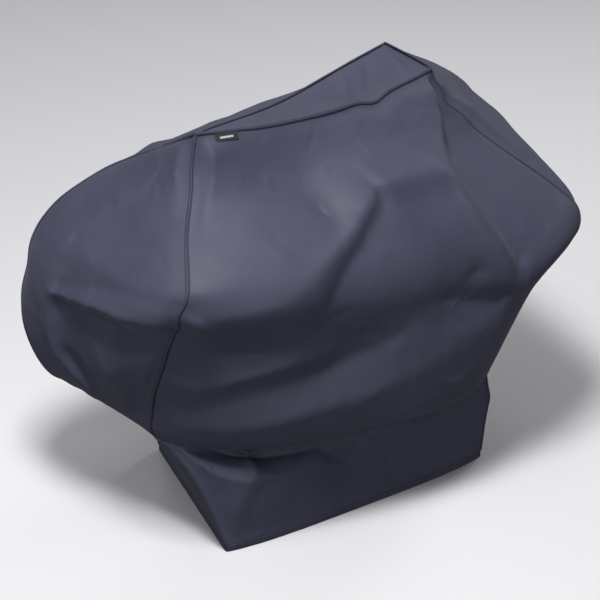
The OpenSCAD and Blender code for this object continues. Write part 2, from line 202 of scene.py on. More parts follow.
def taut(lines):
    """Heights over a panel's grid.  They are fixed along each line, and are 0 round the edge and at
    the waist.  Every other point settles at the mean of its four neighbours, as in a taut skin, so
    it is straight between two lines and breaks sharply at each.  It is found in many passes over
    the grid, each going past the mean by OVERSHOOT, and then smoothed by 1 2 1 both ways."""
    z = np.zeros((ROWS, COLUMNS))
    free = np.ones(z.shape, bool)
    row_of = (ROWS - 1) / (LAST - FIRST_ROW)
    free[[0, -1, int((WAIST - FIRST_ROW) * row_of)]] = False
    free[:, [0, -1]] = False
    for places in lines:
        line = smooth_path(places, LINE_STEPS)
        r = np.rint((line[:, 0] - FIRST_ROW) * row_of).astype(int).clip(0, ROWS - 1)
        c = np.rint(line[:, 1] * (COLUMNS - 1)).astype(int).clip(0, COLUMNS - 1)
        z[r, c] = line[:, 2]
        free[r, c] = False
    odd = np.indices(z.shape).sum(0) % 2 == 1
    for _ in range(PASSES):
        for turn in (odd, ~odd):
            mean = (np.roll(z, 1, 0) + np.roll(z, -1, 0) + np.roll(z, 1, 1) + np.roll(z, -1, 1)) / 4
            z = np.where(free & turn, z + OVERSHOOT * (mean - z), z)
    for _ in range(2):
        for axis in (0, 1):
            z = (np.roll(z, 1, axis) + 2 * z + np.roll(z, -1, axis)) / 4
    return z


# %% The height of one small fold over a whole grid
REACH, SLOPE_POWER = 1.6, 1.15
SIDE_CHANGE = 2.5


def fold_height(side, points, path, reach, crest):
    """The fold's height at each grid point.  The path is a smooth curve through its places, which
    are (rings down, share across, height).  The height falls from the curve's own to nothing
    over REACH times the reach, along a nearly straight slope.  There is one reach on the left of
    the path and one on its right, and the crest is rounded over a few millimetres."""
    line = smooth_path(path, FOLD_STEPS)
    curve = face(side, line[:, 0], line[:, 1])
    flat = points.reshape(-1, 3)
    height = np.zeros(len(flat))
    ahead = np.gradient(curve, axis=0)
    ahead /= np.linalg.norm(ahead, axis=1, keepdims=True) + 1e-12
    normal = grid_normals(points).reshape(-1, 3)
    low = curve.min(0) - 4 * max(reach)
    high = curve.max(0) + 4 * max(reach)
    near = np.nonzero(((flat > low) & (flat < high)).all(1))[0]
    gap = flat[near, None, :] - curve[None]
    distance = np.linalg.norm(gap, axis=2)
    nearest = distance.argmin(1)
    rows = np.arange(len(near))
    d = distance[rows, nearest]
    turned = np.einsum("ij,ij->i", np.cross(ahead[nearest], gap[rows, nearest]), normal[near])
    side_share = 0.5 + 0.5 * np.tanh(turned / (d + 1e-6) * SIDE_CHANGE)
    width = reach[1] + (reach[0] - reach[1]) * side_share
    rounded = np.sqrt(d ** 2 + crest ** 2) - crest
    height[near] = line[nearest, 2] * np.clip(1 - rounded / (REACH * width), 0, 1) ** SLOPE_POWER
    return height.reshape(points.shape[:2])


# %% [markdown]
# The lid's handle holds the front panel up along a short edge.  From its left end a crest runs
# down to the shelf, and from the top right corner another comes down past its right end.  Below
# lie a slack hollow and the belly of the loose fold, and the skirt has its own rim and creases.

# %% The lines that the large folds are drawn over: rings down, share across and height
HANDLE_LEFT, HANDLE_RIGHT, HANDLE_STAND = (1.35, 0.52), (1.35, 0.7), 54
RIGHT_POCKET, LEFT_SHELF_END = (2.5, 0.78), (2.25, 0.1)
TENTS = {
    "front": [
        # The edge over the handle, and the start of the steep face under it
        [(*HANDLE_LEFT, HANDLE_STAND), (*HANDLE_RIGHT, HANDLE_STAND)],
        [(1.5, 0.54, 38), (1.5, 0.68, 38)],
        # The crest from the handle's left end to the left seam, and the valley beside it
        [(*HANDLE_LEFT, HANDLE_STAND), (1.8, 0.3, 32), (2.1, 0.17, 16), (2.25, 0.02, 5)],
        [(1.4, 0.5, 38), (1.7, 0.4, 14), (2.05, 0.31, 4), (2.7, 0.3, -4)],
        # The long crest from the top right corner past the handle, and the valley on its right
        [(0.1, 0.97, 8), (0.7, 0.9, 26), (1.35, 0.73, 48), (1.8, 0.69, 37), (*RIGHT_POCKET, 16)],
        [(0.2, 0.98, -2), (0.7, 0.94, -14), (1.3, 0.8, -8), (1.8, 0.75, -4), (2.3, 0.79, 0)],
        # The foot of the steep face under the handle
        [(2.45, 0.33, -4), (2.55, 0.5, 2), (2.7, 0.7, -2)],
        # The hollow at the left, the low ridge under it, and the long valley
        [(2.8, 0.06, -8), (2.95, 0.15, -22), (2.9, 0.27, -8)],
        [(3.3, 0.07, 2), (3.15, 0.2, 0), (3.05, 0.36, -5)],
        [(3.55, 0.04, -3), (3.35, 0.17, -16), (3.25, 0.35, -18), (3.0, 0.54, -3)],
        # The belly of the loose fold
        [(3.8, 0.04, 4), (3.65, 0.25, 8), (3.45, 0.57, 10), (3.15, 0.8, 4)],
        # The lit wedge beside the top of the left seam, and the soft crease that leaves it
        [(0.1, 0.01, 2), (0.65, 0.06, 16), (1.5, 0.02, 2)],
        [(0.7, 0.07, 14), (1.15, 0.24, 9), (1.4, 0.35, 7)],
        # The shaded pocket at the right shelf corner
        [(2.25, 0.65, 4), (*RIGHT_POCKET, 16), (2.9, 0.89, 8)],
        [(2.6, 0.62, -4), (2.75, 0.73, -9), (2.85, 0.82, -7)],
        # The rim of the skirt, the hollow above it and its upright crease
        [(4.4, 0.02, 2), (5.6, 0.04, 12), (6.05, 0.14, 17), (6.15, 0.4, 3)],
        [(4.9, 0.08, -6), (5.7, 0.22, -12), (5.9, 0.52, -4)],
        [(4.9, 0.2, 0), (6.0, 0.17, 17)],
        # Ridges that fall from the right end of the skirt
        [(4.9, 0.97, 3), (5.7, 0.94, 8), (6.45, 0.65, 4)],
        [(5.3, 0.9, -7), (5.85, 0.73, -4)],
    ],
    "left": [
        # The crease from the top of the front left seam to the back shelf corner
        [(0.15, 0.7, 3), (0.9, 0.63, 8), (1.75, 0.3, 11), (*LEFT_SHELF_END, 8)],
        [(1.05, 0.7, 2), (1.8, 0.33, 4)],
        # The lit fold along the shelf's edge, and the dark valley under it
        [(2.4, 0.36, 9), (2.1, 0.72, 8), (2.1, 0.93, 6)],
        [(2.5, 0.31, 18), (2.4, 0.63, 29), (2.35, 0.98, 9)],
        [(2.6, 0.37, -6), (2.65, 0.7, -21), (2.8, 0.98, -5)],
        # Down from the end of the shelf
        [(*LEFT_SHELF_END, 8), (2.8, 0.32, 12), (3.3, 0.34, 13), (3.85, 0.49, 2)],
        [(2.85, 0.24, 2), (3.65, 0.18, 0)],
        [(3.3, 0.39, -4), (3.5, 0.43, -7), (3.7, 0.51, -3)],
        # Soft creases lower down
        [(2.85, 0.53, -6), (3.2, 0.7, 4), (3.6, 0.83, 2)],
        [(2.95, 0.96, 2), (3.25, 0.95, 6), (3.6, 0.92, 3)],
        [(5.0, 0.5, 3), (6.0, 0.55, 8), (6.8, 0.6, 3)],
        [(5.2, 0.8, -4), (6.1, 0.78, -8), (6.8, 0.76, -2)],
    ],
    "right": [
        [(0.3, 0.55, 6), (1.0, 0.52, 14), (1.6, 0.47, 16), (2.2, 0.4, 14)],
        [(2.1, 0.06, 12), (2.3, 0.3, 18), (2.25, 0.6, 18), (2.1, 0.94, 10)],
        [(2.62, 0.1, -6), (2.7, 0.4, -12), (2.65, 0.8, -8)],
        [(2.6, 0.35, 0), (3.2, 0.3, 10), (3.85, 0.22, 4)],
        [(2.9, 0.7, 4), (3.5, 0.62, 10), (3.9, 0.6, 4)],
        [(5.0, 0.3, 5), (6.0, 0.33, 10), (6.8, 0.35, 3)],
        [(5.0, 0.7, -5), (6.0, 0.68, -9), (6.8, 0.66, -1)],
    ],
    "back": [
        [(0.6, 0.25, 5), (1.5, 0.3, 16), (2.2, 0.36, 20)],
        [(0.6, 0.74, 5), (1.4, 0.68, 16), (2.2, 0.62, 20)],
        [(2.15, 0.05, 12), (2.25, 0.35, 20), (2.28, 0.65, 20), (2.2, 0.95, 12)],
        [(2.65, 0.08, -6), (2.78, 0.4, -16), (2.75, 0.7, -15), (2.65, 0.94, -6)],
        [(3.0, 0.2, 4), (3.5, 0.27, 12), (3.95, 0.3, 4)],
        [(3.0, 0.55, 4), (3.4, 0.52, 12), (3.9, 0.5, 4)],
        [(3.1, 0.8, 4), (3.6, 0.76, 10), (3.9, 0.74, 3)],
        [(4.8, 0.25, 5), (6.0, 0.28, 10), (6.8, 0.3, 3)],
        [(4.8, 0.5, -5), (6.0, 0.5, -11), (6.8, 0.5, -2)],
        [(4.8, 0.78, 5), (6.0, 0.75, 9), (6.8, 0.72, 3)],
    ],
}
print("large folds", {k: len(v) for k, v in TENTS.items()})

# %% The small folds of each side: path, reach on the left and on the right, and how round the crest is
FOLDS = {
    "front": [
        # Small tucks that leave the left seam
        ([(2.2, 0.0, 8), (2.34, 0.04, 5), (2.5, 0.09, 0)], (14, 30), 5),
        ([(2.62, 0.0, -6), (2.68, 0.04, -5), (2.72, 0.1, 0)], (18, 18), 5),
        ([(3.2, 0.0, 6), (3.3, 0.05, 4), (3.45, 0.12, 0)], (20, 26), 6),
        # Shelf corner at the right, and wrinkles of the skirt
        ([(1.95, 1.0, 4), (2.2, 0.93, 6), (2.6, 0.86, 5), (2.9, 0.84, 0)], (60, 40), 10),
        ([(6.02, 0.4, -3), (6.12, 0.43, -6), (6.3, 0.5, -2)], (12, 12), 4),
        ([(6.05, 0.15, 5), (6.45, 0.08, 5), (6.95, 0.02, 2)], (26, 36), 6),
        ([(6.6, 0.85, 3), (6.95, 0.82, 3)], (12, 14), 4),
    ],
    "left": [
        # Creases that leave the top of the front left seam, and tucks beside it
        ([(0.2, 0.8, 4), (0.6, 0.86, 6), (1.1, 0.93, 3)], (22, 30), 6),
        ([(0.1, 0.9, 2), (0.5, 0.8, 4), (0.85, 0.74, 1)], (10, 12), 3),
        ([(3.4, 0.99, -8), (3.55, 0.94, -14), (3.75, 0.9, -8)], (22, 26), 6),
        ([(2.9, 0.95, 4), (3.15, 0.82, 8), (3.4, 0.66, 5), (3.55, 0.55, 0)], (35, 50), 10),
        ([(1.9, 0.3, 0), (1.95, 0.5, 3), (2.0, 0.75, 3), (1.98, 0.95, 0)], (20, 30), 6),
    ],
    "right": [
        ([(0.35, 0.02, 3), (0.75, 0.08, 7), (1.1, 0.09, 8), (1.4, 0.05, 4)], (24, 30), 5),
        ([(1.0, 0.85, 0), (1.5, 0.8, 5), (2.0, 0.8, 2)], (30, 24), 5),
        ([(3.0, 0.85, 2), (3.4, 0.8, 6), (3.8, 0.78, 2)], (24, 30), 6),
    ],
    "back": [
        ([(0.3, 0.5, 0), (1.0, 0.52, 5), (1.9, 0.48, 3)], (60, 60), 12),
        ([(3.3, 0.4, 0), (3.6, 0.42, 6), (3.9, 0.43, 2)], (24, 30), 6),
        ([(0.4, 0.9, 2), (0.9, 0.85, 6), (1.4, 0.82, 3)], (30, 26), 6),
    ],
}
print("small folds", {k: len(v) for k, v in FOLDS.items()})

# %% [markdown]
# Between the folds the cloth is never dead flat.  It keeps faint crumples from when it was
# folded in its bag.  They are short, low ridges at places drawn from a seeded list, so that the
# same cover comes out each time.

# %% Small crumples over a grid
SEED = 20


def crumples(points, count, height, seed):
    """The sum of short ridges.  Each is a bell across its line and a wider bell along it, with a
    seeded place, direction, length and height."""
    rng = np.random.default_rng(SEED + seed)
    flat = points.reshape(-1, 3)
    total = np.zeros(len(flat))
    for centre in rng.integers(0, len(flat), count):
        direction = rng.normal(size=3)
        direction /= np.linalg.norm(direction)
        length = rng.uniform(35, 120)
        width = rng.uniform(7, 22)
        gap = flat - flat[centre]
        run = gap @ direction
        off = np.sqrt(np.maximum((gap ** 2).sum(1) - run ** 2, 0))
        total += rng.uniform(-1, 1) * height * np.exp(-(run / length) ** 2 - (off / width) ** 2)
    return total.reshape(points.shape[:2])


# %% [markdown]
# ## A panel of cloth
# Each panel is a grid over its side.  Its edges dip into the seams, as sewn cloth does, because
# the thread pulls it down.  Large folds, small folds and crumples are added up to one height,
# and the smooth face is moved out by it.

# %% The grid of a side panel
SEAM_GAP = 2.5
TENT_DEPTH, FOLD_DEPTH = 1.45, 1.6
GROOVE_DEPTH, GROOVE_REACH, TOP_GROOVE = 2.0, 9.0, 0.8
CRUMPLE_COUNT, CRUMPLE_HEIGHT = 150, 2.2
# Folds and crumples fade over these lengths beside a seam, and lose this share of their height
# at the hem, over so many rings
SEAM_FADE, TOP_FADE = 26, 22
HEM_CALM, HEM_CALM_RINGS = 0.75, 0.35


def side_grid(side):
    """The panel's grid of points.  Rows run down from the top seam and columns run across.  The
    height over the smooth face is that of the taut skin, plus the highest small crest and the
    deepest small valley there, plus the crumples.  It fades out at the seams and is low at the
    hem, and a groove that is deepest at the seam is taken off."""
    name = SIDES[side]
    s = GRID_RINGS[:, None]
    run = np.linalg.norm(along(RINGS[:, (side + 1) % 4], s[:, 0]) - along(RINGS[:, side], s[:, 0]), axis=1)
    edge = (SEAM_GAP / run)[:, None]
    t = edge + (1 - 2 * edge) * np.linspace(0, 1, COLUMNS)[None, :]
    base = face(side, s, t)
    s_all = np.broadcast_to(s, t.shape)
    folds = np.array([fold_height(side, base, *fold) for fold in FOLDS[name]])
    height = TENT_DEPTH * taut(TENTS[name]) + FOLD_DEPTH * (folds.max(0).clip(0) + folds.min(0).clip(None, 0))
    height += crumples(base, CRUMPLE_COUNT, CRUMPLE_HEIGHT, side)
    to_seam = np.minimum(t, 1 - t) * run[:, None]
    fade = 1 - np.exp(-(to_seam / SEAM_FADE) ** 2)
    from_top = np.linalg.norm(base - face(side, 0.0 * s_all, t), axis=-1)
    hem_calm = 1 - HEM_CALM * bump(s_all, LAST, HEM_CALM_RINGS)
    fade = fade * (1 - np.exp(-(from_top / TOP_FADE) ** 2)) * hem_calm
    groove = GROOVE_DEPTH * (np.exp(-to_seam / GROOVE_REACH) + TOP_GROOVE * np.exp(-from_top / GROOVE_REACH))
    return base + grid_normals(base) * (height * fade - groove)[..., None]


panel_grids = {name: side_grid(i) for i, name in enumerate(SIDES)}
print("panel grid", panel_grids["front"].shape)

# %% [markdown]
# The top panel is a narrow strip that joins the front, back, left and right panels.  It dips a
# little between its seams, and a few folds run across it where the slack gathers at one end.


# %% The grid of the top panel
TOP_ROWS, TOP_COLUMNS, TOP_DIP = 64, 176, 10.0
TOP_SIZE = np.array([710.0, 200.0])
# Start and end as shares along and across, height and width
TOP_FOLDS = [
    ((0.58, 0.0), (0.8, 1.0), 5, 16), ((0.70, 0.05), (0.9, 0.95), -6, 14),
    ((0.9, 0.0), (0.97, 0.8), 5, 10), ((0.05, 0.3), (0.3, 0.9), 3, 14),
    ((0.3, 0.1), (0.55, 0.9), -3, 18), ((0.15, 0.9), (0.5, 0.75), 3, 12),
]


def top_grid():
    """A point is a mix of the front edge and the back edge, less a dip that is greatest in the
    middle.  Each fold is a bell round a straight line from one place to another."""
    a = np.linspace(0.004, 0.996, TOP_COLUMNS)[None, :]
    b = np.linspace(0.985, 0.015, TOP_ROWS)[:, None]
    a, b = np.broadcast_arrays(a, b)
    ahead = face(0, np.zeros(a.shape), a)
    behind = face(2, np.zeros(a.shape), 1 - a)
    hump = (1 - (2 * b - 1) ** 2) * (1 - (2 * a - 1) ** 2)
    points = ahead + (behind - ahead) * b[..., None] - TOP_DIP * hump[..., None] * UP
    height = crumples(points, 40, 1.6, 9)
    for start, end, high, width in TOP_FOLDS:
        p, q = np.array(start) * TOP_SIZE, np.array(end) * TOP_SIZE
        run = q - p
        gap = np.stack([a, b], -1) * TOP_SIZE - p
        share = np.clip(gap @ run / (run @ run), 0, 1)
        off = np.linalg.norm(gap - share[..., None] * run, axis=-1)
        height = height + high * np.exp(-(off / width) ** 2) * np.sin(np.pi * np.clip(share, 0.08, 0.92))
    inset = np.minimum(np.minimum(a, 1 - a) * TOP_SIZE[0], np.minimum(b, 1 - b) * TOP_SIZE[1])
    fade = 1 - np.exp(-(inset / 16) ** 2)
    groove = GROOVE_DEPTH * np.exp(-inset / GROOVE_REACH)
    return points + UP * (height * fade - groove)[..., None]


panel_grids["top"] = top_grid()
print("top grid", panel_grids["top"].shape)


# %% [markdown]
# ## From grids to meshes
# A grid becomes a mesh in one step: its points in a row, and one four-sided face for each cell.
# Its own map in metres goes with it, so that a weave keeps its real size on every panel.

# %% Putting a grid into a mesh
def new_mesh(name, points, faces, uv=None):
    """A mesh object from an array of points in millimetres and its faces."""
    mesh = bpy.data.meshes.new(name)
    mesh.from_pydata((points * MM).tolist(), [], faces if isinstance(faces, list) else faces.tolist())
    if uv is not None:
        layer = mesh.uv_layers.new(name="cloth")
        loops = np.empty(len(mesh.loops), int)
        mesh.loops.foreach_get("vertex_index", loops)
        layer.data.foreach_set("uv", uv[loops].astype(np.float32).ravel())
    mesh.shade_smooth()
    obj = bpy.data.objects.new(name, mesh)
    bpy.context.scene.collection.objects.link(obj)
    return obj


def grid_faces(rows, columns, closed=False):
    """One face for each cell of a grid, turned so that its front looks along the grid's normal.
    A closed grid joins its last column to its first."""
    i = np.arange(rows - 1)[:, None] * columns
    j = np.arange(columns if closed else columns - 1)[None, :]
    k = (j + 1) % columns
    return np.stack([i + j, i + columns + j, i + columns + k, i + k], -1).reshape(-1, 4)


def cloth_map(points):
    """A flat map in metres: how far across and how far down each point lies, along the cloth."""
    across = np.linalg.norm(np.diff(points, axis=1, prepend=points[:, :1]), axis=-1).cumsum(1)
    across -= across[:, points.shape[1] // 2][:, None]
    down = np.linalg.norm(np.diff(points, axis=0, prepend=points[:1]), axis=-1).cumsum(0)
    return np.stack([across, -down], -1).reshape(-1, 2) * MM


# %% [markdown]
# ## Finishes
# The cloth is woven polyester with a thin coating: nearly black blue, with a soft satin shine
# and a weave too fine to count from a step away.  It could be one flat colour, but real cloth
# has a thread pattern, a slightly uneven coating and faint rubbed marks.  So the weave is a
# pair of fine waves on the panel's own map, and the rest is broad, gentle noise on its place.

# %% Helpers for node materials
def new_material(name, colour, roughness, **sockets):
    """A material whose even values sit on the shader's own sockets."""
    material = bpy.data.materials.new(name)
    material.use_nodes = True
    shader = material.node_tree.nodes["Principled BSDF"]
    shader.inputs["Base Color"].default_value = (*colour, 1)
    shader.inputs["Roughness"].default_value = roughness
    for socket, value in sockets.items():
        shader.inputs[socket.replace("_", " ")].default_value = value
    return material, material.node_tree, shader


def noise(tree, source, scale, detail=3.0, roughness=0.5):
    """A noise of one size, read at a place."""
    node = tree.nodes.new("ShaderNodeTexNoise")
    node.inputs["Scale"].default_value = scale
    node.inputs["Detail"].default_value = detail
    node.inputs["Roughness"].default_value = roughness
    tree.links.new(source, node.inputs["Vector"])
    return node.outputs["Fac"]


def span(tree, value, low, high, start=0.3, end=0.7):
    """A value carried from one range to another."""
    node = tree.nodes.new("ShaderNodeMapRange")
    for socket, number in zip(("From Min", "From Max", "To Min", "To Max"), (start, end, low, high)):
        node.inputs[socket].default_value = number
    tree.links.new(value, node.inputs["Value"])
    return node.outputs["Result"]


def maths(tree, operation, a, b):
    """One sum on two values, each a socket or a number."""
    node = tree.nodes.new("ShaderNodeMath")
    node.operation = operation
    for socket, value in zip(node.inputs, (a, b)):
        if isinstance(value, (int, float)):
            socket.default_value = value
        else:
            tree.links.new(value, socket)
    return node.outputs["Value"]


def blend_colours(tree, share, first, second):
    """A colour that goes from the first to the second as the share goes from 0 to 1."""
    ramp = tree.nodes.new("ShaderNodeValToRGB")
    ramp.color_ramp.elements[0].color = (*first, 1)
    ramp.color_ramp.elements[1].color = (*second, 1)
    tree.links.new(share, ramp.inputs["Fac"])
    return ramp.outputs["Color"]


# The length of one wave of Blender's wave texture at a scale of 1
WAVE_LENGTH = 0.314


def thread_waves(tree, source, pitch, tilt=0.0):
    """Threads as two sets of waves, one across the other: 0 in the gaps and 1 on the crowns."""
    mapping = tree.nodes.new("ShaderNodeMapping")
    mapping.inputs["Rotation"].default_value = (0, 0, tilt)
    tree.links.new(source, mapping.inputs["Vector"])
    crowns = []
    for direction in ("X", "Y"):
        wave = tree.nodes.new("ShaderNodeTexWave")
        wave.bands_direction = direction
        wave.inputs["Scale"].default_value = WAVE_LENGTH / pitch
        tree.links.new(mapping.outputs["Vector"], wave.inputs["Vector"])
        crowns.append(wave.outputs["Fac"])
    return maths(tree, "MULTIPLY", *crowns)


def add_bump(tree, shader, height, distance, strength=1.0):
    """A bump of a real depth in metres."""
    node = tree.nodes.new("ShaderNodeBump")
    node.inputs["Distance"].default_value = distance
    node.inputs["Strength"].default_value = strength
    tree.links.new(height, node.inputs["Height"])
    previous = shader.inputs["Normal"].links
    if previous:
        tree.links.new(previous[0].from_socket, node.inputs["Normal"])
    tree.links.new(node.outputs["Normal"], shader.inputs["Normal"])


def places(tree):
    """The place on the piece, and its map in metres."""
    node = tree.nodes.new("ShaderNodeTexCoord")
    return node.outputs["Object"], node.outputs["UV"]


# %% The coated cloth, and its backing
CLOTH_DARK, CLOTH_LIGHT = (0.056, 0.058, 0.094), (0.068, 0.070, 0.112)
THREAD_PITCH = 0.0011


def coated_cloth(name, dark, light, roughness):
    """Cloth whose colour and shine drift gently, with a fine weave, a grain in the coating and
    shallow creases where it was folded."""
    material, tree, shader = new_material(name, light, roughness, Sheen_Weight=0.05, Sheen_Roughness=0.45,
                                          Specular_IOR_Level=0.36)
    place, flat_map = places(tree)
    drift = span(tree, noise(tree, place, 4.5, 4), 0, 1, 0.35, 0.65)
    tree.links.new(blend_colours(tree, drift, dark, light), shader.inputs["Base Color"])
    shine = maths(tree, "ADD", span(tree, noise(tree, place, 9, 5), -0.05, 0.06), roughness)
    tree.links.new(shine, shader.inputs["Roughness"])
    add_bump(tree, shader, noise(tree, place, 14, 4, 0.55), 0.0035, 0.5)
    add_bump(tree, shader, noise(tree, place, 420, 2), 0.00025, 0.35)
    add_bump(tree, shader, thread_waves(tree, flat_map, THREAD_PITCH), 0.00012, 0.5)
    return material


cloth = coated_cloth("coated_cloth", CLOTH_DARK, CLOTH_LIGHT, 0.56)
# The seam laps and hem bands use a darker copy of the same cloth: painted shade along the seams and round the
# hem
folded_cloth_painted_shade = coated_cloth("folded_cloth_painted_shade", (0.046, 0.048, 0.078), (0.056, 0.059, 0.095), 0.52)
backing = coated_cloth("cloth_backing", (0.03, 0.031, 0.036), (0.04, 0.041, 0.047), 0.6)


# %% [markdown]
# Webbing has a bold rib, hook tape is a field of stiff points, loop tape is a soft nap, thread is
# twisted, and a woven label is smooth and close.  Each differs in scale and shine more than in
# colour, so their patterns have different sizes.

# %% Webbing, tapes, thread and label
def ribbed(name, dark, light, roughness, pitch, depth, tilt=0.0, sheen=0.2):
    """A material of crossed threads of one pitch, darker in the gaps."""
    material, tree, shader = new_material(name, light, roughness, Sheen_Weight=sheen)
    flat_map = places(tree)[1]
    crowns = thread_waves(tree, flat_map, pitch, tilt)
    tree.links.new(blend_colours(tree, crowns, dark, light), shader.inputs["Base Color"])
    add_bump(tree, shader, crowns, depth)
    return material


webbing = ribbed("webbing", (0.008, 0.008, 0.01), (0.03, 0.03, 0.036), 0.6, 0.0016, 0.0005, math.radians(45))
hook_tape = ribbed("hook_tape", (0.004, 0.004, 0.005), (0.028, 0.028, 0.032), 0.4, 0.0014, 0.0009, 0.0, 0.0)
loop_tape = ribbed("loop_tape", (0.012, 0.012, 0.014), (0.034, 0.034, 0.038), 0.85, 0.0009, 0.0005, 0.5, 0.6)
label_cloth = ribbed("label_cloth", (0.010, 0.010, 0.013), (0.022, 0.022, 0.027), 0.55, 0.0006, 0.00012)
label_bar = ribbed("label_bar", (0.45, 0.45, 0.46), (0.62, 0.62, 0.63), 0.55, 0.0006, 0.00012)


def sewing_thread(name, colour):
    """Twisted thread: slanting waves round each stitch."""
    material, tree, shader = new_material(name, colour, 0.5, Sheen_Weight=0.1)
    place = places(tree)[0]
    wave = tree.nodes.new("ShaderNodeTexWave")
    wave.bands_direction = "DIAGONAL"
    wave.inputs["Scale"].default_value = 900
    tree.links.new(place, wave.inputs["Vector"])
    add_bump(tree, shader, wave.outputs["Fac"], 0.0001)
    return material


thread = sewing_thread("sewing_thread", (0.034, 0.036, 0.055))
# The box stitches get a near-black copy of the thread: painted shade for the puckered groove that the box of
# thread pulls into the cloth
box_thread_painted_shade = sewing_thread("box_thread_painted_shade", (0.009, 0.009, 0.013))
print("materials", len(bpy.data.materials))

# %% [markdown]
# ## The five panels
# Each panel could be a thick slab, but cloth is under a millimetre thick.  The grid is the outer
# face, and Solidify gives it its thickness inwards, with the backing on the inner side.

# %% The panels as sheets
CLOTH_T = 0.0009
CUTS = {
    "front": ((1.26, 1.46), 1.34), "right": ((0.67, 1.40), 0.70), "back": ((1.31, 1.45), 1.30),
    "left": ((0.65, 1.45), 0.56), "top": ((0.72, 0.23), 0.15),
}


def dress(obj, material, body, nodes):
    """Gives a piece its finish and its body, and hides the measured nodes that it stands for."""
    obj.data.materials.append(material)
    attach(obj, body)
    if nodes:
        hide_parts(*nodes)
    return obj


def panel(name):
    """One panel of cloth, and what it was cut to."""
    points = panel_grids[name]
    faces = grid_faces(*points.shape[:2])
    obj = new_mesh(name + "_panel_cloth", points.reshape(-1, 3), faces, cloth_map(points))
    wall = obj.modifiers.new("thickness", "SOLIDIFY")
    wall.thickness = CLOTH_T
    wall.offset = -1
    wall.material_offset = 1
    dress(obj, cloth, "root", [name + "_panel"])
    obj.data.materials.append(backing)
    return obj


panels = {name: panel(name) for name in panel_grids}


# %% Area of each panel, to compare with its cut
def grid_area(points):
    """The sum of the cells' areas: half the cross product of each cell's diagonals."""
    a = points[1:, 1:] - points[:-1, :-1]
    b = points[1:, :-1] - points[:-1, 1:]
    return np.linalg.norm(np.cross(a, b), axis=-1).sum() / 2 * MM ** 2


for name, (flat, area) in CUTS.items():
    print(name, "built area", round(grid_area(panel_grids[name]), 3), "cut", flat, area)

# %% [markdown]
# ## Seams
# Where two panels meet, their edges are folded together and sewn down, so the seam is a narrow
# raised lap with a stitched groove beside it.  It could be a pipe, but a pipe looks like trim.
# Here a lap's profile is carried along the corner, a little unevenly, as sewn cloth lies.


# %% Carrying a profile along a line
def lengths_along(line):
    """How far along the line each of its points lies."""
    return np.linalg.norm(np.diff(line, axis=0, prepend=line[:1]), axis=1).cumsum()


def read_rows(x, known_at, rows):
    """Rows of numbers read between the places where they are known."""
    return np.stack([np.interp(x, known_at, rows[:, i]) for i in range(rows.shape[1])], -1)


def grid_map(across, down, shape):
    """A map for a grid, from a row of values across it and a column of values down it."""
    return np.stack([np.broadcast_to(across, shape), np.broadcast_to(down, shape)], -1).reshape(-1, 2)


def tube_faces(rows, columns):
    """The faces of a closed grid, and a cap on each end."""
    ends = [list(range(columns)), list(range((rows - 1) * columns, rows * columns))[::-1]]
    return grid_faces(rows, columns, closed=True).tolist() + ends


def frames(line, up):
    """At each place on a line: the way ahead, the way out, and the way across."""
    ahead = np.gradient(line, axis=0)
    ahead /= np.linalg.norm(ahead, axis=1, keepdims=True)
    out = up - (up * ahead).sum(1, keepdims=True) * ahead
    out /= np.linalg.norm(out, axis=1, keepdims=True)
    return ahead, out, np.cross(ahead, out)


# How far the map runs round a carried profile, in metres
MAP_GIRTH = 0.02


def carried(line, up, profile, sizes=None):
    """A closed profile of (across, out) points carried along a line, with its ends capped."""
    _, out, across = frames(line, up)
    sizes = np.ones(len(line)) if sizes is None else sizes
    ring = profile[None, :, :] * sizes[:, None, None]
    points = line[:, None] + ring[..., :1] * across[:, None] + ring[..., 1:] * out[:, None]
    shape = points.shape[:2]
    girth = np.linspace(0, MAP_GIRTH, shape[1])
    uv = grid_map(girth[None], lengths_along(line)[:, None] * MM, shape)
    return points.reshape(-1, 3), tube_faces(*shape), uv


def mesh_of(name, parts):
    """One piece from several (points, faces, map) parts, with its faces turned outwards."""
    points, faces, maps, shift = [], [], [], 0
    for p, f, m in parts:
        points.append(p)
        faces += [[i + shift for i in face_ring] for face_ring in f]
        maps.append(m)
        shift += len(p)
    obj = new_mesh(name, np.concatenate(points), faces, np.concatenate(maps))
    outward_faces(obj)
    return obj


def outward_faces(obj):
    """Turns the faces of a mesh of closed parts outwards."""
    work = bmesh.new()
    work.from_mesh(obj.data)
    bmesh.ops.recalc_face_normals(work, faces=work.faces)
    work.to_mesh(obj.data)
    work.free()


# %% Stitches
STITCH_L, STITCH_GAP, STITCH_T = 4.2, 1.6, 0.75
WANDER = 0.25
POD_RINGS, POD_SIDES = 5, 6


